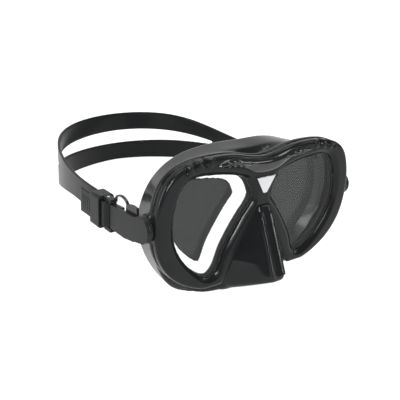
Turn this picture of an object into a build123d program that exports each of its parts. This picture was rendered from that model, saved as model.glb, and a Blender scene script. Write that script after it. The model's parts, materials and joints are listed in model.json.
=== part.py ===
from build123d import *
from math import sqrt
import os

# Diving mask. Everything is drawn in the mask's own frame: +X to the wearer's
# left, -Y the way the lenses face, +Z up, with y = 0 just behind the frame's
# front and z = 0 just under the bridge. The finished parts are then leaned back
# about X, so that the skirt's cheeks and the rear of the strap rest on z = 0.

# Driving dimensions, millimetres and degrees
FRONT_Y = -2.0             # front face of the frame
FRAME_BACK_Y = 9.0         # back face of the frame, where the skirt starts
GLASS_FRONT_Y = 0.5
GLASS_THICKNESS = 4.0
LENS_LAP = 2.0             # how far the glass reaches past its opening
LENS_SPOTS = 36            # points that a lens outline is grown from
RIM_WIDTH = 4.2            # frame rim between a lens opening and the nose
RIB_SLOT_SIZE = (3.0, 5.0, 4.4)
RIB_SLOT_TILT = 20.0
EAR_INNER_X = 77.5
EAR_FRONT_Y = 5.0
RING_INSET = 0.5           # how far the lens ring reaches inside the opening
BADGE_THICKNESS = 1.2
COVER_RISE = 2.4           # brow cover above the frame's front
SKIRT_WALL = 2.2
SKIRT_FACETS = 40          # straight facets round the skirt's bowl
FACE_DEPTH = 30.5          # wearer's face behind y = 0 at the middle
FACE_CURVE = 0.00267       # how fast the face falls back towards the temples
CHEEK_TOP_Z = -4.0         # the cheeks come forward below here
CHEEK_CURVE = 0.0065
NOSE_RIDGE_HALF = 4.5      # half width of the flat front of the nose pocket
NOSE_TOP_Y = -3.6          # ridge at z = 0
NOSE_SLOPE = 0.468         # how fast the ridge comes forward going down
NOSE_ROOT_X = 10.5         # half width of the nose pocket's root at z = 0
NOSE_SPREAD = 0.62         # how fast the root widens going down
NOSE_ROOT_Y = 4.0
NOSE_BACK_Y = 26.0
NOSE_BOTTOM_Z = -62.0
NOSE_UNDER = [(-60, -30.5), (40, -76.0)]    # slope of the pocket's underside, in (y, z)

PIVOT_Y = 8.5              # swivel axis of the buckles
PIVOT_Z = -2.5
PIN_RADIUS = 2.5
PIN_START_X = 81.0         # blind end of the pin in the frame's ear
PIN_HEAD_RADIUS = 3.5
PIN_HEAD_GAP = 0.1
PIN_HEAD_THICKNESS = 0.8
HEAD_POCKET_GAP = 0.4      # round the pin's head, inside the buckle cover
HEAD_POCKET_DEPTH = 1.2
PIN_CLEARANCE = 0.05
PLATE_INNER_X = 84.0       # inner face of a buckle
BASE_THICKNESS = 2.4
COVER_THICKNESS = 1.9
PLATE_END_RADIUS = 8.5
PLATE_REAR_Y = 43.8
PLATE_BOTTOM_Z = -14.6
LEVER_GAP = 0.3
ARCH_MIDDLE = (34.2, 4.9)  # thin arm of the upper lever, in (y, z)
ARCH_OUTER = (8.1, 5.6)
ARCH_INNER = (6.9, 4.4)
ARM_GAP = 0.3              # between the roller's arms and the strap's edges
ARM_HEIGHT = 2.5
ARM_START_Y = 42.8
ARM_REACH = 2.2            # past the roller's axis
UPPER_FOOT_Z = 1.0
LOWER_FOOT_Z = -14.0

ROLLER_Y = 49.0
ROLLER_RADIUS = 2.0
AXLE_RADIUS = 1.0
AXLE_CLEARANCE = 0.05
STRAP_THICKNESS = 2.0
STRAP_WIDTH = 17.0
STRAP_MID_Z = -6.2
STRAP_INNER_X = 83.2       # middle of the strap layer nearer the head
WRAP_RADIUS = 3.3          # middle of the strap where it turns round the roller
STRAIGHT_END_Y = 80.0      # the two strap layers run straight and level to here
KEEPER_Y = 52.0
KEEPER_LENGTH = 12.0
KEEPER_GAP = 0.3
KEEPER_WALL = 1.2
KEEPER_RIM = 2.4           # keeper wall above and below the strap
KEEPER_ROUND = 2.0
SLOT_START_Y = 148.0       # the strap divides into two bands from here
LOOP_DEPTH = 215.0         # how far back the strap loop reaches
LOOP_HEIGHT = 44.0         # both bands and the gap between them
BAND_GAP = 12.0
LOOP_MID_Z = -10.0
LOOP_LEAN = 13.0           # sideways lean of the soft loop at its far end
LOOP_SPOTS = 25            # points that each face of the loop is drawn through
LEVEL_END_Y = 95.0         # the strap keeps its width to here
SLOT_MID_Z = -8.0          # where the bands divide
SLOT_HALF = 1.5            # half height of the slot's round start
BAND_SPREAD = 3.2          # growth of the strap's half width at the slot's start

LEAN_BACK = 8.9            # resting attitude of the whole mask

GLASS_BACK_Y = GLASS_FRONT_Y + GLASS_THICKNESS
PLATE_OUTER_X = PLATE_INNER_X + BASE_THICKNESS
STRAP_TOP = STRAP_MID_Z + STRAP_WIDTH / 2
STRAP_BOTTOM = STRAP_MID_Z - STRAP_WIDTH / 2
ROLLER_X = STRAP_INNER_X + WRAP_RADIUS
TAIL_X = ROLLER_X + WRAP_RADIUS

# Outlines seen from the front, in (x, z)
LENS_OPENING = [
    (8.4, 5.8), (10.0, 11.4), (14.0, 18.0), (21.0, 22.6), (32.0, 25.2), (43.0, 26.6),
    (53.0, 27.0), (60.5, 25.0), (65.5, 19.0), (68.6, 10.0), (70.0, 0.0), (68.8, -11.0),
    (64.5, -21.5), (57.0, -31.5), (48.0, -39.5), (42.0, -42.6), (37.0, -42.3),
    (33.6, -38.0), (29.6, -27.0), (23.6, -16.5), (16.5, -6.0), (10.6, 1.2),
]

# Half outlines run from the top centre round the wearer's left to the bottom centre
FRAME_HALF = [
    (0, 33.5), (13, 35.2), (24, 37.6), (36, 38.6), (50, 38.2), (61, 36.2), (70.5, 32.0),
    (77.0, 25.5), (81.2, 15.5), (83.2, 4.0), (83.0, -8.0), (80.5, -20.0), (75.0, -30.5),
    (67.0, -39.0), (57.0, -45.5), (46.0, -50.0), (38.0, -50.5), (28.0, -50.5), (0, -50.5),
]

BROW_COVER_HALF = [
    (0, 32.2), (9, 33.0), (17, 35.0), (26, 36.4), (34, 36.2), (41, 33.2), (36, 30.6),
    (27, 29.4), (18, 27.2), (10, 23.6), (0, 22.4),
]

SKIRT_FRONT_HALF = [
    (0, 31.5), (24, 35.4), (50, 36.0), (70.0, 29.0), (79.0, 10.0), (78.0, -17.0),
    (60.0, -39.5), (36.0, -49.0), (0, -49.5),
]

SKIRT_FLARE_HALF = [
    (0, 35.0), (24, 35.8), (50, 32.0), (69.5, 20.5), (76.5, 1.0), (74.0, -26.0),
    (60.0, -51.5), (36.0, -61.5), (0, -60.0),
]

SKIRT_SEAL_HALF = [
    (0, 39.0), (26, 36.2), (47, 27.5), (62.0, 10.5), (68.7, -12.0), (65.0, -38.0),
    (52.0, -55.0), (30.0, -60.0), (0, -58.0),
]

FACE_OPENING_HALF = [
    (0, 31.0), (26, 28.5), (45, 18.5), (54.0, 2.0), (56.0, -20.0), (50.0, -44.0),
    (34.0, -54.5), (15.0, -56.5), (0, -56.0),
]

NOSE_GAP = [(-3.5, -3.5), (3.5, -3.5), (36, -62), (-36, -62)]
BADGE_OUTLINE = [(-8.2, 20.2), (8.2, 20.2), (1.6, 9.0), (-1.6, 9.0)]
RIB_SLOT_SPOTS = [(46.0, 36.4), (53.5, 35.5), (60.5, 34.1)]

# Outlines seen from the side, in (y, z)
EAR_OUTLINE = [
    (EAR_FRONT_Y, 8.5), (15.0, 5.5), (16.5, -2.5), (14.5, -11.5), (EAR_FRONT_Y, -14.0),
]
UPPER_LEVER_ROOM = [(14.5, 12), (14.5, -2.2), (33, -2.2), (33, 12)]
LOWER_LEVER_ROOM = [(16.5, -20), (16.5, -10.4), (33, -10.4), (33, -20)]
UPPER_LEVER_BLOCK = [(15.2, 2.6), (16.0, 8.4), (21.5, 8.6), (28.0, 7.0), (28.5, 2.4)]
LOWER_LEVER_BLOCK = [
    (17.6, -12.6), (31.8, -12.6), (31.8, -15.0), (26.0, -16.0), (19.0, -15.0),
]

# Plan view of half the strap's loop, in (x, y)
LOOP_HALF = [
    (STRAP_INNER_X, STRAIGHT_END_Y), (81.5, 105), (78, 132), (72, 158), (62.5, 180),
    (47, 198), (25, 210.5),
]


# Helpers
def mirror_outline(half):
    """Close a half outline across x = 0."""
    return half + [(-x, z) for x, z in reversed(half) if x > 0]


def smooth_face(points):
    return make_face(Spline([*points], periodic=True))


def polygon_face(points):
    return make_face(Polyline(*points, close=True))


def shrink(points, margin):
    """Move an outline's points by margin towards its middle."""
    heights = [z for _, z in points]
    middle = (max(heights) + min(heights)) / 2
    moved = []
    for x, z in points:
        keep = 1 - margin / sqrt(x * x + (z - middle) ** 2)
        moved.append((x * keep, middle + (z - middle) * keep))
    return moved


def front_plane(y):
    return Plane.XZ.offset(-y)


def slab(face, y_front, y_back):
    """A front view made solid between two depths."""
    return extrude(front_plane(y_front) * face, amount=y_back - y_front, dir=(0, 1, 0))


def side_slab(face, x_low, x_high):
    """A side view, drawn in (y, z), made solid between two x values."""
    return extrude(Plane.YZ.offset(x_low) * face, amount=x_high - x_low, dir=(1, 0, 0))


def level_slab(face, z_low, z_high):
    """A plan view made solid between two heights."""
    return extrude(Plane.XY.offset(z_low) * face, amount=z_high - z_low, dir=(0, 0, 1))


def box_between(low, high):
    size = [top - bottom for bottom, top in zip(low, high)]
    middle = [(bottom + top) / 2 for bottom, top in zip(low, high)]
    return Pos(*middle) * Box(*size)


def across(radius, x_low, x_high, y, z):
    """A round bar along X."""
    return Pos((x_low + x_high) / 2, y, z) * Rot(0, 90, 0) * Cylinder(radius, x_high - x_low)


def upright(radius, z_low, z_high):
    """A round bar along Z on the strap roller's axis."""
    return Pos(ROLLER_X, ROLLER_Y, (z_low + z_high) / 2) * Cylinder(radius, z_high - z_low)


def mirrored(shape):
    return mirror(shape, about=Plane.YZ)


def largest_solid(shape):
    return max(shape.solids(), key=lambda solid: solid.volume)


# Frame and what it carries
def lens_face(margin=0.0):
    """The wearer's left lens opening, grown by margin."""
    ring = Spline([*LENS_OPENING], periodic=True)
    spots = []
    for i in range(LENS_SPOTS):
        spot = ring @ (i / LENS_SPOTS)
        along = ring % (i / LENS_SPOTS)
        spots.append((spot.X - margin * along.Y, spot.Y + margin * along.X))
    return smooth_face(spots)


def rib_slots():
    """Three short slanted slots on the upper outer corner of the frame."""
    slot = Rot(0, RIB_SLOT_TILT, 0) * Box(*RIB_SLOT_SIZE)
    return [Pos(x, FRONT_Y, z) * slot for x, z in RIB_SLOT_SPOTS]


def pivot_ear():
    """The ear at the frame's side that the buckle swivels against."""
    return side_slab(polygon_face(EAR_OUTLINE), EAR_INNER_X, PLATE_INNER_X - LEVER_GAP)


def make_frame():
    body = slab(smooth_face(mirror_outline(FRAME_HALF)), FRONT_Y, FRAME_BACK_Y)
    rim = lens_face(RIM_WIDTH)
    nose_gap = polygon_face(NOSE_GAP) - rim - mirrored(rim)
    body -= slab(nose_gap, FRONT_Y - 1, FRAME_BACK_Y + 1)
    opening = slab(lens_face(), FRONT_Y - 1, FRAME_BACK_Y + 1)
    seat = slab(lens_face(LENS_LAP), GLASS_FRONT_Y, FRAME_BACK_Y + 1)
    for cut in (opening, seat, *rib_slots()):
        body = body - cut - mirrored(cut)
    pin_hole = across(PIN_RADIUS, PIN_START_X, 90, PIVOT_Y, PIVOT_Z)
    body = body + pivot_ear() + mirrored(pivot_ear()) - pin_hole - mirrored(pin_hole)
    return largest_solid(body)


def make_pivot_pin():
    """Pin from the frame's ear out through the buckle base, with a flat head."""
    head_x = PLATE_OUTER_X + PIN_HEAD_GAP
    shaft = across(PIN_RADIUS, PIN_START_X, head_x, PIVOT_Y, PIVOT_Z)
    return shaft + across(PIN_HEAD_RADIUS, head_x, head_x + PIN_HEAD_THICKNESS,
                          PIVOT_Y, PIVOT_Z)


def make_lens():
    return slab(lens_face(LENS_LAP), GLASS_FRONT_Y, GLASS_BACK_Y)


def make_lens_ring():
    return slab(lens_face(LENS_LAP) - lens_face(-RING_INSET), GLASS_BACK_Y, FRAME_BACK_Y)


def make_brow_cover():
    return slab(smooth_face(mirror_outline(BROW_COVER_HALF)), FRONT_Y - COVER_RISE, FRONT_Y)


def make_badge():
    return slab(polygon_face(BADGE_OUTLINE), FRONT_Y - BADGE_THICKNESS, FRONT_Y)


# Skirt
def head_depth(x, z):
    """Depth of the wearer's face at a point of the front view."""
    below = max(0.0, CHEEK_TOP_Z - z)
    return FACE_DEPTH + FACE_CURVE * x * x - CHEEK_CURVE * below * below


def behind_face(ahead=0.0):
    """All that lies behind the wearer's face, moved forward by ahead."""
    columns = [-90 + 30 * i for i in range(7)]
    rows = [-80 + 20 * j for j in range(8)]
    grid = [[Vector(x, head_depth(x, z) - ahead, z) for x in columns] for z in rows]
    surface = Face.make_surface_from_array_of_points(grid, tol=0.2)
    return extrude(surface, amount=60, dir=(0, 1, 0))


def facet_ring(half, margin):
    """A polygon of evenly spread points round an outline, inset by margin."""
    ring = Spline([*shrink(mirror_outline(half), margin)], periodic=True)
    spots = [ring @ (i / SKIRT_FACETS) for i in range(SKIRT_FACETS)]
    return polygon_face([(spot.X, spot.Y) for spot in spots])


def skirt_bowl(margin):
    """The skirt's bowl as a full solid, inset all round by margin."""
    stations = [
        (SKIRT_FRONT_HALF, FRAME_BACK_Y + margin),
        (SKIRT_FLARE_HALF, FRAME_BACK_Y + 6),
        (SKIRT_SEAL_HALF, 46),
    ]
    return loft([front_plane(y) * facet_ring(half, margin) for half, y in stations], ruled=True)


def nose_section(z, margin):
    """Level cut through the nose pocket: a flat ridge and two straight flanks."""
    ridge_x = NOSE_RIDGE_HALF - margin / 2
    ridge_y = NOSE_TOP_Y + NOSE_SLOPE * z + margin
    root_x = NOSE_ROOT_X - NOSE_SPREAD * z - margin
    return Plane.XY.offset(z) * polygon_face([
        (-ridge_x, ridge_y), (ridge_x, ridge_y), (root_x, NOSE_ROOT_Y), (root_x, NOSE_BACK_Y),
        (-root_x, NOSE_BACK_Y), (-root_x, NOSE_ROOT_Y),
    ])


def nose_pocket(margin):
    wedge = loft([nose_section(z, margin) for z in (-margin, NOSE_BOTTOM_Z)], ruled=True)
    rise = 1.1 * margin
    slope = [(y, z + rise) for y, z in NOSE_UNDER]
    floor = [(y, -120) for y, _ in reversed(NOSE_UNDER)]
    return wedge - side_slab(polygon_face(slope + floor), -60, 60)


def make_skirt(neighbours):
    skirt = skirt_bowl(0.0) - behind_face() + (nose_pocket(0.0) - behind_face())
    skirt -= skirt_bowl(SKIRT_WALL) - behind_face(ahead=SKIRT_WALL)
    skirt -= slab(facet_ring(FACE_OPENING_HALF, 0.0), FRAME_BACK_Y + 3, 90)
    skirt -= nose_pocket(SKIRT_WALL)
    window = slab(lens_face(-RING_INSET), FRAME_BACK_Y - 2, FRAME_BACK_Y + 4)
    for other in (window, mirrored(window), *neighbours):
        skirt -= other
    return largest_solid(skirt)


# Buckle on the wearer's left
def buckle_outline(top_front, top_rear):
    """Side view of a buckle plate with its round swivel end."""
    end = Pos(PIVOT_Y, PIVOT_Z) * Circle(PLATE_END_RADIUS)
    return end + polygon_face([
        (PIVOT_Y, PIVOT_Z + PLATE_END_RADIUS), (14.5, top_front), (PLATE_REAR_Y, top_rear),
        (PLATE_REAR_Y, PLATE_BOTTOM_Z), (26, PLATE_BOTTOM_Z),
        (PIVOT_Y, PIVOT_Z - PLATE_END_RADIUS),
    ])


def make_buckle_base():
    """Inner plate, with room for both levers and two arms for the roller's axle."""
    outline = buckle_outline(4.5, 1.6)
    outline -= polygon_face(UPPER_LEVER_ROOM)
    outline -= polygon_face(LOWER_LEVER_ROOM)
    base = side_slab(outline, PLATE_INNER_X, PLATE_OUTER_X)
    foot_end = ROLLER_Y - WRAP_RADIUS - STRAP_THICKNESS / 2 - ARM_GAP
    arm_end = (ROLLER_X + ARM_REACH, ROLLER_Y + ARM_REACH)
    for low, root in (
        (STRAP_TOP + ARM_GAP, UPPER_FOOT_Z),
        (STRAP_BOTTOM - ARM_GAP - ARM_HEIGHT, LOWER_FOOT_Z),
    ):
        high = low + ARM_HEIGHT
        base += box_between((PLATE_INNER_X, ARM_START_Y, low), (*arm_end, high))
        base += box_between((PLATE_INNER_X, ARM_START_Y, min(low, root)),
                            (PLATE_OUTER_X, foot_end, max(high, root)))
    base -= across(PIN_RADIUS + PIN_CLEARANCE, 80, 90, PIVOT_Y, PIVOT_Z)
    base -= upright(AXLE_RADIUS, -40, 40)
    return largest_solid(base)


def make_buckle_cover():
    """Outer plate, hollowed inside for the head of the pivot pin."""
    cover = side_slab(buckle_outline(3.6, 1.6), PLATE_OUTER_X, PLATE_OUTER_X + COVER_THICKNESS)
    return cover - across(PIN_HEAD_RADIUS + HEAD_POCKET_GAP, PLATE_OUTER_X - 1,
                          PLATE_OUTER_X + HEAD_POCKET_DEPTH, PIVOT_Y, PIVOT_Z)


def make_upper_lever():
    """Thumb block with a thin arm that arches over the hole to its root."""
    arch = Pos(*ARCH_MIDDLE) * (Ellipse(*ARCH_OUTER) - Ellipse(*ARCH_INNER))
    arch &= Pos(ARCH_MIDDLE[0], 9.0) * Rectangle(30, 10)
    return side_slab(polygon_face(UPPER_LEVER_BLOCK) + arch, PLATE_INNER_X + LEVER_GAP,
                     PLATE_OUTER_X - LEVER_GAP)


def make_lower_lever():
    return side_slab(polygon_face(LOWER_LEVER_BLOCK), PLATE_INNER_X + LEVER_GAP,
                     PLATE_OUTER_X - LEVER_GAP)


def make_axle():
    return upright(AXLE_RADIUS, STRAP_BOTTOM - 2.8, STRAP_TOP + 2.8)


def make_roller():
    tube = upright(ROLLER_RADIUS, STRAP_BOTTOM, STRAP_TOP)
    return tube - upright(AXLE_RADIUS + AXLE_CLEARANCE, -40, 40)


def make_keeper():
    """Sleeve round both layers of the strap."""
    half = STRAP_THICKNESS / 2 + KEEPER_GAP
    inside_low = (STRAP_INNER_X - half, KEEPER_Y - 1, STRAP_BOTTOM - KEEPER_GAP)
    inside_high = (TAIL_X + half, KEEPER_Y + KEEPER_LENGTH + 1, STRAP_TOP + KEEPER_GAP)
    outside_low = (inside_low[0] - KEEPER_WALL, KEEPER_Y, inside_low[2] - KEEPER_RIM)
    outside_high = (inside_high[0] + KEEPER_WALL, KEEPER_Y + KEEPER_LENGTH,
                    inside_high[2] + KEEPER_RIM)
    sleeve = box_between(outside_low, outside_high)
    sleeve = fillet(sleeve.edges().filter_by(Axis.Y), KEEPER_ROUND)
    return sleeve - box_between(inside_low, inside_high)


# Strap
def lean(x, y):
    """The soft loop leans sideways more and more towards its far end."""
    behind = max(0.0, y - STRAIGHT_END_Y) / (LOOP_DEPTH - STRAIGHT_END_Y)
    return (x + LOOP_LEAN * behind ** 3, y)


def loop_face():
    """Plan view of the loop between the straight ends."""
    route = LOOP_HALF + [(0, LOOP_DEPTH)] + [(-x, y) for x, y in reversed(LOOP_HALF)]
    middle = Spline([lean(x, y) for x, y in route], tangents=[(0, 1), (0, -1)])
    half = STRAP_THICKNESS / 2
    edges = []
    for side in (1, -1):
        points = []
        for i in range(LOOP_SPOTS):
            along = middle % (i / (LOOP_SPOTS - 1))
            spot = middle @ (i / (LOOP_SPOTS - 1))
            points.append((spot.X - side * half * along.Y, spot.Y + side * half * along.X))
        edges.append(Spline(points, tangents=[(0, 1), (0, -1)]))
    caps = [Line(edges[0] @ end, edges[1] @ end) for end in (0, 1)]
    return make_face([*edges, *caps])


def strap_end_face():
    """Plan view of one end: the wrap round the roller and the doubled straight."""
    half = STRAP_THICKNESS / 2
    wrap = Circle(WRAP_RADIUS + half) - Circle(WRAP_RADIUS - half)
    wrap &= Pos(0, -10) * Rectangle(20, 20)
    length = STRAIGHT_END_Y - ROLLER_Y
    layer = Pos(0, length / 2) * Rectangle(STRAP_THICKNESS, length)
    both = Pos(-WRAP_RADIUS, 0) * layer + Pos(WRAP_RADIUS, 0) * layer
    return Pos(ROLLER_X, ROLLER_Y) * (wrap + both)


def strap_side_face():
    """Side view: level ends, then two bands that spread apart round the head."""
    far = LOOP_DEPTH + 5
    outer = []
    inner = []
    for sign, edge in ((1, STRAP_TOP), (-1, STRAP_BOTTOM)):
        reach = LOOP_MID_Z + sign * LOOP_HEIGHT / 2
        outer.append(Spline((LEVEL_END_Y, edge), (SLOT_START_Y, edge + sign * BAND_SPREAD),
                            (far, reach), tangents=[(1, 0), (1, 0.12 * sign)]))
        inner.append(Spline((SLOT_START_Y, SLOT_MID_Z + sign * SLOT_HALF),
                            (far, LOOP_MID_Z + sign * BAND_GAP / 2),
                            tangents=[(1, 0.18 * sign), (1, 0.02 * sign)]))
    face = make_face([
        Line((30, STRAP_TOP), (LEVEL_END_Y, STRAP_TOP)), outer[0],
        Line(outer[0] @ 1, outer[1] @ 1), outer[1],
        Line((LEVEL_END_Y, STRAP_BOTTOM), (30, STRAP_BOTTOM)),
        Line((30, STRAP_BOTTOM), (30, STRAP_TOP)),
    ])
    slot = make_face([
        inner[0], Line(inner[0] @ 1, inner[1] @ 1), inner[1],
        ThreePointArc(inner[1] @ 0, (SLOT_START_Y - SLOT_HALF, SLOT_MID_Z), inner[0] @ 0),
    ])
    return face - slot


def make_strap():
    plan = loop_face() + strap_end_face() + mirrored(strap_end_face())
    band = level_slab(plan, -60, 40)
    return largest_solid(band & side_slab(strap_side_face(), -150, 150))


def make_all():
    """Every part by name, in the mask's own frame."""
    frame = make_frame()
    lens = make_lens()
    ring = make_lens_ring()
    neighbours = (frame, lens, mirrored(lens), ring, mirrored(ring))
    parts = {
        "frame": frame,
        "brow_cover": make_brow_cover(),
        "badge_plate": make_badge(),
        "skirt": make_skirt(neighbours),
        "strap": make_strap(),
    }
    pairs = {
        "lens": lens,
        "lens_ring": ring,
        "pivot_pin": make_pivot_pin(),
        "buckle_base": make_buckle_base(),
        "buckle_cover": make_buckle_cover(),
        "upper_lever": make_upper_lever(),
        "lower_lever": make_lower_lever(),
        "roller_axle": make_axle(),
        "roller": make_roller(),
        "strap_keeper": make_keeper(),
    }
    for name, shape in pairs.items():
        parts[name + "_left"] = shape
        parts[name + "_right"] = mirrored(shape)
    return parts


def standing(parts):
    """Where the mask frame goes so that the leaned-back mask stands centred on z = 0."""
    leaned = Compound([Rot(-LEAN_BACK, 0, 0) * shape for shape in parts.values()])
    box = leaned.bounding_box()
    middle = (box.min + box.max) / 2
    return Pos(-middle.X, -middle.Y, -box.min.Z) * Rot(-LEAN_BACK, 0, 0)


if __name__ == "__main__":
    os.makedirs("parts", exist_ok=True)
    all_parts = make_all()
    place = standing(all_parts)
    print("mask frame stands at", place.position)
    for part_name, part_shape in all_parts.items():
        export_step(place * part_shape, f"parts/{part_name}.step")
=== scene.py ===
import json
from math import cos, pi, radians, sin

import bpy
import numpy as np
from mathutils import Matrix, Vector


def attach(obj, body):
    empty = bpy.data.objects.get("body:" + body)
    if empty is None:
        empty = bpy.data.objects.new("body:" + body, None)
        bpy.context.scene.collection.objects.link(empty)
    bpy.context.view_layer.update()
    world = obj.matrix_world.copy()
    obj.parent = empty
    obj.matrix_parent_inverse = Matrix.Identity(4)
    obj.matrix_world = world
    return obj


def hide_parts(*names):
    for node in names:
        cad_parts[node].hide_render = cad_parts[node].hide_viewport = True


# Looks of a diving mask. Shapes are drawn in the mask's own frame, in millimetres:
# +X to the wearer's left, -Y the way the lenses face, +Z up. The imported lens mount
# says how that frame stands in the part's frame.

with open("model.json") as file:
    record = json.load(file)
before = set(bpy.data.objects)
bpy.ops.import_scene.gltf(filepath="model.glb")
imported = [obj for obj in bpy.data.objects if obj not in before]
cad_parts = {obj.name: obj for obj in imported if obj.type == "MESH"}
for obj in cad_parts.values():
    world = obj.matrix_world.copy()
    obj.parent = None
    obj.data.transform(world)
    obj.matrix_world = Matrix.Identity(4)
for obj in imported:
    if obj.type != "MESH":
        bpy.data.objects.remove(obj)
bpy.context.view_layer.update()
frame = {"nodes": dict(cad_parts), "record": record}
SIDES = (("left", 1), ("right", -1))

# Mask dimensions, millimetres, as in the part
FRONT_Y = -2.0
FRAME_BACK_Y = 9.0
GLASS_FRONT_Y, GLASS_BACK_Y = 0.5, 4.5
RIM_WIDTH = 4.2
WALL_FLARE = 0.5           # how fast a lens opening widens towards the back
COVER_RISE = 2.4
PARTING_Y = 3.6            # line round the frame's side
FACE_DEPTH = 30.5          # wearer's face behind y = 0 at the middle
FACE_CURVE = 0.00267       # how fast the face falls back towards the temples
CHEEK_TOP_Z = -4.0         # the cheeks come forward below here
CHEEK_CURVE = 0.0065
SKIRT_WALL = 2.2
SKIRT_CENTRE_Z = -10.0     # the bowl's outlines are measured round this height
WEB_TOP_Z = -42.0          # top of the web behind the lower lip
LIP_HALF = 46.0            # half width of the lower lip under the nose and cheeks
RIB_RISE = 0.2             # ribs on the strap's tail, low enough for the keeper to pass
RIDGE_HALF = 4.5           # half width of the flat front of the nose pocket
RIDGE_TOP_Y = -3.6         # the ridge's depth at z = 0
RIDGE_SLOPE = 0.468        # how fast it comes forward going down
RIDGE_TURN = 0.905         # turns a depth from the sloping ridge into a distance
BEAD_RADIUS = 1.15         # raised edge of the ridge
MOUNT_X, MOUNT_Y, MOUNT_Z = 39.0, 4.5, -8.0
PIVOT_Y, PIVOT_Z = 8.5, -2.5
ROLLER_X, ROLLER_Y = 86.5, 49.0
WRAP_RADIUS = 3.3
STRAP_THICKNESS = 2.0
STRAP_WIDTH = 17.0
STRAP_MID_Z = -6.2
STRAIGHT_END_Y = 80.0
SLOT_START_Y = 148.0
LOOP_DEPTH = 215.0
LOOP_HEIGHT = 44.0
LOOP_MID_Z = -10.0
LOOP_LEAN = 13.0
BAND_GAP = 12.0
CELL = 0.75                # spacing of the grids that moulded shapes are grown from
FINE_CELL = 0.5            # for the lens rings and the brow cover
SKIRT_CELL = 0.85
RELAX_FACTOR = 0.5

LENS_OPENING = [
    (8.4, 5.8), (10.0, 11.4), (14.0, 18.0), (21.0, 22.6), (32.0, 25.2), (43.0, 26.6),
    (53.0, 27.0), (60.5, 25.0), (65.5, 19.0), (68.6, 10.0), (70.0, 0.0), (68.8, -11.0),
    (64.5, -21.5), (57.0, -31.5), (48.0, -39.5), (42.0, -42.6), (37.0, -42.3),
    (33.6, -38.0), (29.6, -27.0), (23.6, -16.5), (16.5, -6.0), (10.6, 1.2),
]
FRAME_HALF = [
    (0, 33.5), (13, 35.2), (24, 37.6), (36, 38.6), (50, 38.2), (61, 36.2), (70.5, 32.0),
    (77.0, 25.5), (81.2, 15.5), (83.2, 4.0), (83.0, -8.0), (80.5, -20.0), (75.0, -30.5),
    (67.0, -39.0), (57.0, -45.5), (46.0, -50.0), (38.0, -50.5), (28.0, -50.5), (0, -50.5),
]
BROW_COVER_HALF = [
    (0, 32.2), (9, 33.0), (17, 35.0), (26, 36.4), (34, 36.2), (41, 33.2), (36, 30.6),
    (27, 29.4), (18, 27.2), (10, 23.6), (0, 22.4),
]
SKIRT_FRONT_HALF = [
    (0, 31.5), (24, 35.4), (50, 36.0), (70.0, 29.0), (79.0, 10.0), (78.0, -17.0),
    (60.0, -39.5), (36.0, -49.0), (0, -49.5),
]
SKIRT_FLARE_HALF = [
    (0, 35.0), (24, 35.8), (50, 32.0), (69.5, 20.5), (76.5, 1.0), (74.0, -26.0),
    (60.0, -51.5), (36.0, -61.5), (0, -60.0),
]
SKIRT_SEAL_HALF = [
    (0, 39.0), (26, 36.2), (47, 27.5), (62.0, 10.5), (68.7, -12.0), (65.0, -38.0),
    (52.0, -55.0), (30.0, -60.0), (0, -58.0),
]
FACE_OPENING_HALF = [
    (0, 31.0), (26, 28.5), (45, 18.5), (54.0, 2.0), (56.0, -20.0), (50.0, -44.0),
    (34.0, -54.5), (15.0, -56.5), (0, -56.0),
]
MOUNT = next(m for m in frame["record"]["mounts"] if m["name"] == "corrective_lens_left")


def standing_matrix():
    """Mask frame in millimetres to the part's frame in metres, from the lens mount."""
    axis = Vector(MOUNT["axis"])
    lean = Vector((0, 1, 0)).rotation_difference(axis).to_matrix().to_4x4()
    scale = Matrix.Diagonal((0.001, 0.001, 0.001, 1))
    spot = lean @ scale @ Vector((MOUNT_X, MOUNT_Y, MOUNT_Z))
    return Matrix.Translation(Vector(MOUNT["pos_m"]) - spot) @ lean @ scale


STANDING = standing_matrix()


# Shapes as distance fields: negative inside, in millimetres
def mirror_outline(half):
    return half + [(-x, z) for x, z in reversed(half) if x > 0]


def smooth_loop(points, steps=6):
    """Closed Catmull-Rom curve through the points."""
    p = np.array(points, float)
    before, after, later = np.roll(p, 1, 0), np.roll(p, -1, 0), np.roll(p, -2, 0)
    spots = []
    for i in range(steps):
        t = i / steps
        spots.append(0.5 * (2 * p + (after - before) * t
                            + (2 * before - 5 * p + 4 * after - later) * t * t
                            + (3 * p - before - 3 * after + later) * t ** 3))
    return np.stack(spots, 1).reshape(-1, 2)


def flat_distance(loop, x, z):
    """Signed distance from a closed polygon."""
    nearest = np.full(x.shape, 1e9)
    inside = np.zeros(x.shape, bool)
    for (ax, az), (bx, bz) in zip(loop, np.roll(loop, -1, 0)):
        ex, ez = bx - ax, bz - az
        along = np.clip(((x - ax) * ex + (z - az) * ez) / (ex * ex + ez * ez + 1e-9), 0, 1)
        gap = (x - ax - along * ex) ** 2 + (z - az - along * ez) ** 2
        nearest = np.minimum(nearest, gap)
        if abs(ez) > 1e-9:
            crosses = ((az > z) != (bz > z)) & (x < ex * (z - az) / ez + ax)
            inside ^= crosses
    return np.where(inside, -1, 1) * np.sqrt(nearest)


def soft_max(a, b, round_by):
    h = np.clip(0.5 + 0.5 * (a - b) / round_by, 0, 1)
    return b + (a - b) * h + round_by * h * (1 - h)


def soft_min(a, b, round_by):
    return -soft_max(-a, -b, round_by)


def grid(low, high, step=CELL):
    axes = [np.arange(lo, hi + step, step) for lo, hi in zip(low, high)]
    return np.meshgrid(*axes, indexing="ij")


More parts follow.
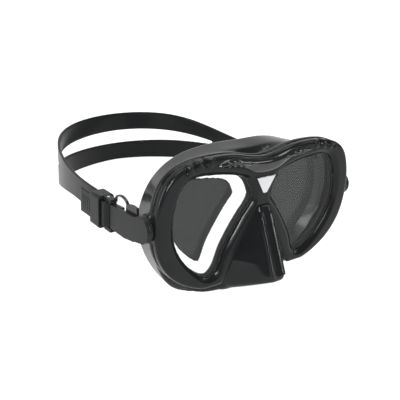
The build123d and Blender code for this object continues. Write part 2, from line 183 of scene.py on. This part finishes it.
def skin_of(field, low, step=CELL):
    """Surface nets: the mesh where a distance field crosses zero."""
    inside = field < 0
    cells = tuple(n - 1 for n in field.shape)
    corners = [(i, j, k) for i in (0, 1) for j in (0, 1) for k in (0, 1)]

    def at(array, corner):
        return array[tuple(slice(c, c + n) for c, n in zip(corner, cells))]

    count = sum(at(inside, corner).astype(np.int8) for corner in corners)
    active = (count > 0) & (count < 8)
    places = np.argwhere(active)
    number = np.full(cells, -1, np.int64)
    number[active] = np.arange(len(places))
    total = np.zeros((len(places), 3))
    crossings = np.zeros(len(places))
    for a in corners:
        for axis in range(3):
            if a[axis]:
                continue
            b = tuple(1 if i == axis else c for i, c in enumerate(a))
            fa, fb = at(field, a)[active], at(field, b)[active]
            cut = (fa < 0) != (fb < 0)
            part = np.where(cut, fa / np.where(cut, fa - fb, 1), 0)
            spot = np.array(a, float) + part[:, None] * (np.array(b) - np.array(a))
            total += np.where(cut[:, None], spot, 0)
            crossings += cut
    verts = (places + total / crossings[:, None]) * step + np.array(low, float)
    faces = []
    for axis in range(3):
        u, v = (axis + 1) % 3, (axis + 2) % 3
        first = np.moveaxis(inside, (axis, u, v), (0, 1, 2))
        ids = np.moveaxis(number, (axis, u, v), (0, 1, 2))
        change = first[1:] != first[:-1]
        change[:, [0, -1], :] = False
        change[:, :, [0, -1]] = False
        i, j, k = np.nonzero(change)
        quad = np.stack([ids[i, j - 1, k - 1], ids[i, j, k - 1], ids[i, j, k],
                         ids[i, j - 1, k]], 1)
        flip = ~first[i, j, k]
        quad[flip] = quad[flip][:, ::-1]
        faces.append(quad)
    return verts, np.concatenate(faces)


def add_mesh(name, verts, faces, material, body):
    """A piece from mask-frame points, smooth shaded, riding on a body."""
    mesh = bpy.data.meshes.new(name)
    spots = [STANDING @ Vector(v) for v in verts]
    mesh.from_pydata(spots, [], [list(map(int, f)) for f in faces])
    mesh.polygons.foreach_set("use_smooth", [True] * len(mesh.polygons))
    mesh.materials.append(material)
    mesh.update()
    piece = bpy.data.objects.new(name, mesh)
    bpy.context.collection.objects.link(piece)
    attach(piece, body)
    return piece


def relax(piece, times):
    smooth = piece.modifiers.new("relax", "SMOOTH")
    smooth.factor = RELAX_FACTOR
    smooth.iterations = times


# Materials
def new_material(name, color, roughness, metallic=0.0, coat=0.0):
    material = bpy.data.materials.new(name)
    material.use_nodes = True
    shader = material.node_tree.nodes["Principled BSDF"]
    shader.inputs["Base Color"].default_value = (*color, 1)
    shader.inputs["Roughness"].default_value = roughness
    shader.inputs["Metallic"].default_value = metallic
    shader.inputs["Coat Weight"].default_value = coat
    shader.inputs["Coat Roughness"].default_value = 0.1
    shader.inputs["Specular IOR Level"].default_value = 0.5 if metallic else 0.35
    shader.inputs["IOR"].default_value = 1.22
    return material


def grained(name, color, worn, roughness, spread, grain, depth, **more):
    """Moulded surface: fine grain in the bump, patchy colour and roughness."""
    material = new_material(name, color, roughness, **more)
    nodes, links = material.node_tree.nodes, material.node_tree.links
    shader = nodes["Principled BSDF"]
    place = nodes.new("ShaderNodeTexCoord")
    patches = nodes.new("ShaderNodeTexNoise")
    patches.inputs["Scale"].default_value = 60
    patches.inputs["Detail"].default_value = 4
    fine = nodes.new("ShaderNodeTexNoise")
    fine.inputs["Scale"].default_value = grain
    fine.inputs["Detail"].default_value = 3
    for texture in (patches, fine):
        links.new(place.outputs["Object"], texture.inputs["Vector"])
    tint = nodes.new("ShaderNodeMix")
    tint.data_type = "RGBA"
    tint.inputs[6].default_value = (*color, 1)
    tint.inputs[7].default_value = (*worn, 1)
    links.new(patches.outputs["Fac"], tint.inputs[0])
    links.new(tint.outputs[2], shader.inputs["Base Color"])
    gloss = nodes.new("ShaderNodeMapRange")
    gloss.inputs["To Min"].default_value = roughness - spread
    gloss.inputs["To Max"].default_value = roughness + spread
    links.new(patches.outputs["Fac"], gloss.inputs["Value"])
    links.new(gloss.outputs["Result"], shader.inputs["Roughness"])
    bump = nodes.new("ShaderNodeBump")
    bump.inputs["Strength"].default_value = depth
    bump.inputs["Distance"].default_value = 0.0003
    links.new(fine.outputs["Fac"], bump.inputs["Height"])
    links.new(bump.outputs["Normal"], shader.inputs["Normal"])
    return material


def glass_material():
    """Clear flat plate: see-through, and a little more reflective at a slant."""
    material = bpy.data.materials.new("window_glass")
    material.use_nodes = True
    nodes, links = material.node_tree.nodes, material.node_tree.links
    nodes.remove(nodes["Principled BSDF"])
    clear = nodes.new("ShaderNodeBsdfTransparent")
    clear.inputs["Color"].default_value = (0.97, 0.985, 0.98, 1)
    shine = nodes.new("ShaderNodeBsdfGlossy")
    shine.inputs["Roughness"].default_value = 0.02
    edge = nodes.new("ShaderNodeLayerWeight")
    edge.inputs["Blend"].default_value = 0.3
    amount = nodes.new("ShaderNodeMapRange")
    amount.inputs["To Min"].default_value = 0.01
    amount.inputs["To Max"].default_value = 0.07
    links.new(edge.outputs["Facing"], amount.inputs["Value"])
    mix = nodes.new("ShaderNodeMixShader")
    links.new(amount.outputs["Result"], mix.inputs["Fac"])
    links.new(clear.outputs["BSDF"], mix.inputs[1])
    links.new(shine.outputs["BSDF"], mix.inputs[2])
    links.new(mix.outputs["Shader"], nodes["Material Output"].inputs["Surface"])
    return material


FRAME_PLASTIC = grained("frame_plastic", (0.006, 0.0066, 0.0070), (0.010, 0.0106, 0.0110),
                        0.22, 0.05, 2600, 0.05, coat=0.12)
BROW_PLASTIC = grained("brow_plastic", (0.009, 0.0095, 0.010), (0.013, 0.0135, 0.014),
                       0.16, 0.04, 1500, 0.02, coat=0.8)
SKIRT_SILICONE = grained("skirt_silicone", (0.006, 0.0066, 0.0070), (0.011, 0.0116, 0.0120),
                         0.24, 0.06, 2200, 0.06, coat=0.22)
STRAP_SILICONE = grained("strap_silicone", (0.007, 0.0076, 0.0080), (0.012, 0.0126, 0.0130),
                         0.30, 0.06, 2400, 0.08, coat=0.06)
BUCKLE_PLASTIC = grained("buckle_plastic", (0.011, 0.0115, 0.012), (0.018, 0.0185, 0.019),
                         0.33, 0.06, 3400, 0.16, coat=0.05)
LEVER_PLASTIC = grained("lever_plastic", (0.010, 0.0105, 0.011), (0.015, 0.0155, 0.016),
                        0.22, 0.04, 2000, 0.06, coat=0.4)
RING_PLASTIC = grained("ring_plastic", (0.010, 0.010, 0.011), (0.015, 0.015, 0.016),
                       0.4, 0.06, 2600, 0.1)
STEEL = grained("pin_steel", (0.50, 0.50, 0.51), (0.62, 0.62, 0.63), 0.28, 0.06, 900, 0.05,
                metallic=1.0)
BADGE_METAL = grained("badge_metal", (0.52, 0.53, 0.54), (0.68, 0.69, 0.70), 0.25, 0.06,
                      1400, 0.06, metallic=1.0)
GLASS = glass_material()


# Frame
LENS_LOOP = smooth_loop(LENS_OPENING)
FRAME_LOOP = smooth_loop(mirror_outline(FRAME_HALF))
NOSE_GAP = np.array([(-3.5, -3.5), (3.5, -3.5), (36, -62), (-36, -62)], float)


def lens_distance(x, z):
    """Distance from the nearer lens opening, the same on both sides."""
    return flat_distance(LENS_LOOP, np.abs(x), z)


def frame_field(low, high):
    """The moulding: a flat bezel, sloping in to each window and rounded at its outer edge."""
    x, y, z = grid(low, high)
    flat_x, flat_z = x[:, 0, :], z[:, 0, :]
    lens = lens_distance(flat_x, flat_z)
    outside = flat_distance(FRAME_LOOP, flat_x, flat_z)
    gap = np.maximum(flat_distance(NOSE_GAP, flat_x, flat_z), RIM_WIDTH - lens)
    plan = soft_max(outside, -gap, 1.2)
    slope = np.clip(3.6 - lens, 0, 3.6) * 0.62
    front = FRONT_Y + slope
    # raised ribs with slots between them on the upper outer corners
    for rib in (45.5, 53.3, 60.0):
        middle_z = 38.6 - 0.006 * (rib - 38) ** 2 - 1.4
        reach = np.hypot(np.abs(flat_x) - rib, (flat_z - middle_z) / 2.0)
        front = front - 1.8 * np.exp(-(reach / 1.6) ** 4)
    for slot in (49.4, 56.7, 63.0):
        middle_z = 38.2 - 0.006 * (slot - 38) ** 2
        reach = np.hypot((np.abs(flat_x) - slot) / 1.2, (flat_z - middle_z) / 2.6)
        front = front + 2.6 * np.exp(-reach ** 4)
    # shallow scoop under each side of the brow cover
    beside = np.abs(flat_x) - 15
    scoop = np.hypot(beside / 7, (flat_z - 20.5 - 0.25 * beside) / 2.6)
    front = front + 1.6 * np.clip(1.1 - scoop, 0, 1)
    depth = np.maximum(front[:, None, :] - y, y - FRAME_BACK_Y)
    body = soft_max(plan[:, None, :] + 0 * y, depth, 2.4)
    # each opening widens behind its front edge
    wall = WALL_FLARE * np.clip(y - GLASS_FRONT_Y, 0, 8) - lens[:, None, :]
    body = soft_max(body, wall, 0.6)
    # parting line round the frame's side
    parting = np.maximum(np.abs(y - PARTING_Y) - 0.45, -1.0 - outside[:, None, :])
    body = soft_max(body, -parting, 0.3)
    # ears that the buckles swivel against
    round_ear = np.hypot(y - PIVOT_Y - 1, (z - PIVOT_Z) * 0.8) - 7.4
    ear = np.maximum(np.abs(np.abs(x) - 80.6) - 3.0, round_ear)
    return soft_min(body, ear, 1.6)


def make_frame():
    low, high = (-86, -8, -54), (86, 20, 43)
    verts, faces = skin_of(frame_field(low, high), low)
    piece = add_mesh("frame_moulding", verts, faces, FRAME_PLASTIC, "mask")
    relax(piece, 3)
    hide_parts("frame")


def make_lens_rings():
    """Thin ring that holds each window in from behind."""
    low, high = (4, 3, -48), (75, 8, 32)
    ring_back_y = 6.3
    for side, sign in SIDES:
        x, y, z = grid(low, high, FINE_CELL)
        lens = flat_distance(LENS_LOOP, x[:, 0, :], z[:, 0, :])[:, None, :] + 0 * y
        plan = np.abs(lens - 1.3) - 1.4
        middle = (GLASS_BACK_Y + ring_back_y) / 2
        depth = np.abs(y - middle) - (ring_back_y - GLASS_BACK_Y) / 2
        verts, faces = skin_of(soft_max(plan, depth, 0.4), low, FINE_CELL)
        if sign < 0:
            verts, faces = verts * (-1, 1, 1), faces[:, ::-1]
        piece = add_mesh("lens_ring_moulding_" + side, verts, faces, RING_PLASTIC, "mask")
        relax(piece, 2)
        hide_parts("lens_ring_" + side)


def make_brow_cover():
    """Glossy domed cover over the bridge, with slanted vents on its raised ends."""
    low, high = (-44, -8, 19), (44, 2, 40)
    x, y, z = grid(low, high, FINE_CELL)
    flat_x, flat_z = np.abs(x[:, 0, :]), z[:, 0, :]
    loop = smooth_loop(mirror_outline(BROW_COVER_HALF))
    plan = flat_distance(loop, x[:, 0, :], flat_z)
    dome = COVER_RISE * (1 - np.exp(np.clip(plan, -20, 0) / 1.6))
    crest = 1.3 * np.exp(-((flat_z - 31.5 - 0.09 * flat_x) / 2.4) ** 2)
    front = FRONT_Y - dome - crest * np.clip(-plan / 3, 0, 1)
    for i in range(3):
        middle = 24 + 4.4 * i
        lean = (flat_z - 33.2) * 0.5
        reach = np.hypot((flat_x - middle - lean) / 0.8, (flat_z - 33.2) / 1.9)
        front = front + 1.4 * np.exp(-reach ** 4)
    hole = np.hypot(flat_x - 16.5, flat_z - 31.2)
    front = front + 1.4 * np.exp(-(hole / 1.1) ** 4)
    depth = np.maximum(front[:, None, :] - y, y - FRONT_Y - 0.6)
    verts, faces = skin_of(soft_max(plan[:, None, :] + 0 * y, depth, 0.8), low, FINE_CELL)
    piece = add_mesh("brow_cover_moulding", verts, faces, BROW_PLASTIC, "mask")
    relax(piece, 3)
    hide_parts("brow_cover")


# Skirt
def head_depth(x, z):
    """Depth of the wearer's face at a point of the front view."""
    below = np.maximum(0.0, CHEEK_TOP_Z - z)
    return FACE_DEPTH + FACE_CURVE * x * x - CHEEK_CURVE * below * below


def ridge_depth(z):
    return RIDGE_TOP_Y + RIDGE_SLOPE * z


def underside(y, z):
    """Distance from the sloping plane under the nose pocket and the lower lip."""
    return (-57.8 - 0.455 * y - z) * 0.91


def radius_round(half, angle):
    """Distance of an outline from the skirt's middle, by angle."""
    loop = smooth_loop(mirror_outline(half))
    turn = np.arctan2(loop[:, 1] - SKIRT_CENTRE_Z, loop[:, 0])
    reach = np.hypot(loop[:, 0], loop[:, 1] - SKIRT_CENTRE_Z)
    order = np.argsort(turn)
    return np.interp(angle, turn[order], reach[order], period=2 * pi)


def bowl_field(y, angle, reach):
    """Outer surface of the skirt's bowl, flaring behind the frame and closing on the face."""
    front, flare, seal = (radius_round(half, angle) for half in
                          (SKIRT_FRONT_HALF, SKIRT_FLARE_HALF, SKIRT_SEAL_HALF))
    early = np.clip((y - FRAME_BACK_Y) / 7.0, 0, 1)
    late = np.clip((y - FRAME_BACK_Y - 5.0) / 31.0, 0, 1)
    early = early * early * (3 - 2 * early)
    radius = front + (flare - front) * early + (seal - flare) * late
    return (reach - radius) * 0.92


def pocket_field(x, y, z, margin):
    """Nose pocket: a flat ridge, two straight flanks and a sloping underside."""
    side = np.abs(x)
    ridge_y = ridge_depth(z)
    root_x = np.maximum(np.minimum(10.5 - 0.5 * z, 36.0 + 0.23 * z), 6.0)
    along_x, along_y = root_x - RIDGE_HALF, 4.0 - ridge_y
    length = np.hypot(along_x, along_y)
    flank = ((side - RIDGE_HALF) * along_y - (y - ridge_y) * along_x) / length + margin
    ridge = (ridge_y - y) * RIDGE_TURN + margin
    walls = soft_max(flank, ridge, 1.0)
    under = underside(y, z) + margin
    side_wall = side - root_x + margin
    return soft_max(soft_max(walls, under, 5.0), side_wall, 3.0)


def make_skirt():
    low, high = (-83, -30, -68), (83, 50, 43)
    x, y, z = grid(low, high, SKIRT_CELL)
    angle = np.arctan2(z - SKIRT_CENTRE_Z, x)
    reach = np.hypot(x, z - SKIRT_CENTRE_Z)
    bowl = bowl_field(y, angle, reach)
    face = (y - head_depth(x, z)) * 0.9
    front_cap = FRAME_BACK_Y - 1.2 - y
    outer_bowl = soft_max(soft_max(bowl, face, 1.6), front_cap, 0.6)
    pocket = soft_max(pocket_field(x, y, z, 0.0), face, 1.6)
    pocket = soft_max(pocket, z - 0.5, 1.0)
    # low web that carries the skirt's lower lip across under the nose
    web_half = np.minimum(10.5 - 0.62 * z, LIP_HALF)
    web_front = (3.5 + 0.0055 * x * x - y) * 0.9
    web_sides = soft_max(np.abs(x) - web_half, web_front, 5.0)
    web = soft_max(web_sides, soft_max(underside(y, z), face, 2.5), 3.0)
    web = np.maximum(web, z - WEB_TOP_Z)
    pocket = soft_min(pocket, web, 3.0)
    # raised bead along each edge of the flat ridge
    bead = np.hypot(np.abs(x) - RIDGE_HALF, (y - ridge_depth(z)) * RIDGE_TURN) - BEAD_RADIUS
    bead = soft_max(bead, np.maximum(z + 4.0, -43.0 - z), 1.0)
    outer = soft_min(soft_min(outer_bowl, pocket, 3.0), bead, 0.8)
    inner_bowl = np.maximum(bowl + SKIRT_WALL, face + SKIRT_WALL)
    inner_bowl = np.maximum(inner_bowl, FRAME_BACK_Y + SKIRT_WALL - y)
    opening = flat_distance(smooth_loop(mirror_outline(FACE_OPENING_HALF)),
                            x[:, 0, :], z[:, 0, :])[:, None, :] + 0 * y
    opening = np.maximum(opening, -3.4 - face)
    inner_web = np.maximum(np.maximum(web + SKIRT_WALL, z + 44), 8 - y)
    inner_pocket = pocket_field(x, y, z, SKIRT_WALL)
    hollow = soft_min(soft_min(inner_bowl, opening, 1.5), inner_pocket, 1.5)
    hollow = np.minimum(hollow, inner_web)
    lens = lens_distance(x[:, 0, :], z[:, 0, :])[:, None, :] + 0 * y
    window_edge = 1.6 + 0.45 * np.clip(y - 6, 0, 6)
    window = np.maximum(lens - window_edge, y - FRAME_BACK_Y - 4)
    # keeps a wall between each window and the nose pocket, but also closes the middle
    # of both windows, which is a fault: the real windows are clear
    wall = window_edge + 1.9 - lens - 4 * np.clip(y - FRAME_BACK_Y - 1.5, 0, 10)
    hollow = np.maximum(hollow, wall)
    body = soft_max(outer, -hollow, 0.8)
    body = np.maximum(body, -window)
    verts, faces = skin_of(body, low, SKIRT_CELL)
    piece = add_mesh("skirt_silicone_body", verts, faces, SKIRT_SILICONE, "mask")
    relax(piece, 4)
    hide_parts("skirt")


# Strap: one strip from tail to tail, solid at the buckles, two bands round the head
def strap_route():
    """Plan-view points from the left tail, round the roller and the head, to the right tail."""
    tail_x = ROLLER_X + WRAP_RADIUS
    inner_x = ROLLER_X - WRAP_RADIUS
    end = [(tail_x, y) for y in np.linspace(STRAIGHT_END_Y, ROLLER_Y + 1, 20)]
    wrap = [(ROLLER_X + WRAP_RADIUS * cos(a), ROLLER_Y - WRAP_RADIUS * sin(a))
            for a in np.linspace(0, pi, 15)]
    run = [(inner_x, y) for y in np.linspace(ROLLER_Y + 1.5, STRAIGHT_END_Y - 3, 18)]
    right = [(inner_x, STRAIGHT_END_Y), (81.5, 105), (78, 132), (72, 158), (62.5, 180),
             (47, 198), (25, 210.5)]
    loop = right + [(0, LOOP_DEPTH)] + [(-x, y) for x, y in reversed(right)]
    leaned = []
    for x, y in loop:
        behind = max(0.0, y - STRAIGHT_END_Y) / (LOOP_DEPTH - STRAIGHT_END_Y)
        leaned.append((x + LOOP_LEAN * behind ** 3, y))
    p = np.array([(leaned[0][0], leaned[0][1] - 20)] + leaned
                 + [(leaned[-1][0], leaned[-1][1] - 20)], float)
    head = []
    for i in range(1, len(p) - 2):
        for t in np.arange(0, 1, 1 / 14):
            head.append(0.5 * (2 * p[i] + (p[i + 1] - p[i - 1]) * t
                               + (2 * p[i - 1] - 5 * p[i] + 4 * p[i + 1] - p[i + 2]) * t * t
                               + (3 * p[i] - p[i - 1] - 3 * p[i + 1] + p[i + 2]) * t ** 3))
    mirror = [(-x, y) for x, y in reversed(end + wrap + run)]
    return np.array(end + wrap + run + [tuple(q) for q in head] + [tuple(p[-2])] + mirror)


def strap_edges(y):
    """Heights of the strip's outer edges and of the slot between its bands."""
    edges = []
    spread = np.clip((y - 95) / (LOOP_DEPTH - 95), 0, 1)
    ease = spread * spread * (3 - 2 * spread)
    opened = np.clip((y - SLOT_START_Y) / (LOOP_DEPTH - SLOT_START_Y), 0, 1)
    for sign in (-1, 1):
        near = STRAP_MID_Z + sign * STRAP_WIDTH / 2
        far = LOOP_MID_Z + sign * LOOP_HEIGHT / 2
        edges.append(near + (far - near) * ease)
    middle = STRAP_MID_Z - 1.8 * spread + (LOOP_MID_Z - STRAP_MID_Z + 1.8) * opened
    half = 1.2 + (BAND_GAP / 2 - 1.2) * opened ** 0.85
    return edges[0], middle - half, middle + half, edges[1]


def make_strap():
    route = strap_route()
    across = 8
    rows = []
    for x, y in route:
        low, slot_low, slot_high, high = strap_edges(y)
        heights = [*np.linspace(low, slot_low, across), *np.linspace(slot_high, high, across)]
        rows.append([(x, y, z) for z in heights])
    verts = [spot for row in rows for spot in row]
    width = 2 * across
    faces = []
    for i in range(len(rows) - 1):
        in_slot = min(route[i][1], route[i + 1][1]) > SLOT_START_Y
        for j in range(width - 1):
            if in_slot and j == across - 1:
                continue
            a = i * width + j
            faces.append((a, a + 1, a + width + 1, a + width))
    piece = add_mesh("strap_band", verts, faces, STRAP_SILICONE, "harness")
    thick = piece.modifiers.new("thickness", "SOLIDIFY")
    thick.thickness = STRAP_THICKNESS * 0.001
    thick.offset = 0
    edge = piece.modifiers.new("edges", "BEVEL")
    edge.width = 0.0006
    edge.segments = 3
    edge.limit_method = "ANGLE"
    edge.angle_limit = radians(50)
    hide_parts("strap")


# CAD pieces whose shape is right keep it, with softened edges and a better material
def finish_node(name, material, edge_mm=0.0):
    node = frame["nodes"][name]
    for slot in node.material_slots:
        slot.material = material
    if edge_mm:
        weld = node.modifiers.new("weld", "WELD")
        weld.merge_threshold = 0.00001
        edge = node.modifiers.new("edges", "BEVEL")
        edge.width = edge_mm * 0.001
        edge.segments = 3
        edge.limit_method = "ANGLE"
        edge.angle_limit = radians(35)
        edge.harden_normals = True


def finish_nodes():
    finish_node("badge_plate", BADGE_METAL, 0.4)
    for side, _ in SIDES:
        finish_node("lens_" + side, GLASS)
        finish_node("pivot_pin_" + side, STEEL, 0.2)
        finish_node("roller_axle_" + side, STEEL, 0.15)
        finish_node("roller_" + side, BUCKLE_PLASTIC)
        finish_node("buckle_base_" + side, BUCKLE_PLASTIC, 0.45)
        finish_node("buckle_cover_" + side, BUCKLE_PLASTIC, 0.7)
        finish_node("upper_lever_" + side, LEVER_PLASTIC, 0.35)
        finish_node("lower_lever_" + side, LEVER_PLASTIC, 0.35)
        finish_node("strap_keeper_" + side, BUCKLE_PLASTIC, 0.6)


# Ribs on the strap's tails
def soft_bars(name, bars, material, body, round_mm):
    """Rounded bars, each between two corners in the mask's frame, as one piece."""
    verts, faces = [], []
    for low, high in bars:
        first = len(verts)
        verts += [(x, y, z) for x in (low[0], high[0]) for y in (low[1], high[1])
                  for z in (low[2], high[2])]
        faces += [tuple(first + i for i in quad) for quad in (
            (0, 1, 3, 2), (4, 6, 7, 5), (0, 4, 5, 1), (2, 3, 7, 6), (0, 2, 6, 4), (1, 5, 7, 3))]
    piece = add_mesh(name, verts, faces, material, body)
    edge = piece.modifiers.new("edges", "BEVEL")
    edge.width = round_mm * 0.001
    edge.segments = 4


def add_tail_ribs():
    """Low grip ribs on the strap's tails."""
    tail_face = ROLLER_X + WRAP_RADIUS + STRAP_THICKNESS / 2
    low, high = STRAP_MID_Z - STRAP_WIDTH / 2, STRAP_MID_Z + STRAP_WIDTH / 2
    for side, sign in SIDES:
        ribs = []
        for y in (67.5, 70.5, 73.5, 76.5):
            xs = sorted((sign * (tail_face - 0.5), sign * (tail_face + RIB_RISE)))
            ribs.append(((xs[0], y - 0.6, low + 3.5), (xs[1], y + 0.6, high - 3.5)))
        soft_bars("tail_ribs_" + side, ribs, STRAP_SILICONE, "harness", 0.3)


# Stage
def make_floor():
    material = new_material("floor_paper", (0.35, 0.35, 0.35), 0.9)
    shader = material.node_tree.nodes["Principled BSDF"]
    shader.inputs["Emission Color"].default_value = (1, 1, 1, 1)
    shader.inputs["Emission Strength"].default_value = 0.82
    reach, run_up = 3.0, 1.2
    profile = [(-reach, 0.0), (run_up, 0.0)]
    profile += [(run_up + 0.6 * sin(a), 0.6 - 0.6 * cos(a)) for a in np.linspace(0.1, pi / 2, 12)]
    profile.append((run_up + 0.6, 3.0))
    verts = [(x, y, z) for y, z in profile for x in (-reach, reach)]
    faces = [(2 * i, 2 * i + 1, 2 * i + 3, 2 * i + 2) for i in range(len(profile) - 1)]
    mesh = bpy.data.meshes.new("floor")
    mesh.from_pydata(verts, [], faces)
    mesh.materials.append(material)
    floor = bpy.data.objects.new("floor", mesh)
    bpy.context.collection.objects.link(floor)


def add_light(name, place, target, size, power):
    data = bpy.data.lights.new(name, "AREA")
    data.shape = "RECTANGLE"
    data.size, data.size_y = size
    data.energy = power
    light = bpy.data.objects.new(name, data)
    light.location = place
    light.rotation_euler = (Vector(target) - Vector(place)).to_track_quat("-Z", "Y").to_euler()
    bpy.context.collection.objects.link(light)


def light_scene():
    world = bpy.data.worlds.new("studio")
    world.use_nodes = True
    world.node_tree.nodes["Background"].inputs["Color"].default_value = (1, 1, 1, 1)
    world.node_tree.nodes["Background"].inputs["Strength"].default_value = 0.06
    bpy.context.scene.world = world
    bpy.context.scene.view_settings.view_transform = "Standard"
    middle = (0, -0.03, 0.05)
    add_light("top_softbox", (0.1, 0.3, 1.3), middle, (1.2, 0.7), 12)
    add_light("left_softbox", (-1.1, 0.35, 0.35), middle, (0.35, 0.7), 9)
    add_light("ridge_light", (-0.35, -0.975, 0.60), (0, -0.10, 0.035), (0.05, 0.5), 14)
    add_light("right_strip", (0.9, -0.5, 0.6), middle, (0.12, 0.7), 3)


def make_camera():
    data = bpy.data.cameras.new("camera")
    data.sensor_width = 36
    data.lens = 55.8
    camera = bpy.data.objects.new("camera", data)
    right = (0.7986, -0.5844, 0.1436)
    up = (0.1799, 0.4595, 0.8697)
    back = (-0.5743, -0.6688, 0.4722)
    turned = Matrix((right, up, back)).transposed().to_4x4()
    camera.matrix_world = Matrix.Translation((-0.2665, -0.3404, 0.2541)) @ turned
    bpy.context.collection.objects.link(camera)
    bpy.context.scene.camera = camera


make_camera()
light_scene()
make_floor()
make_frame()
make_lens_rings()
make_brow_cover()
make_skirt()
make_strap()
finish_nodes()
add_tail_ribs()
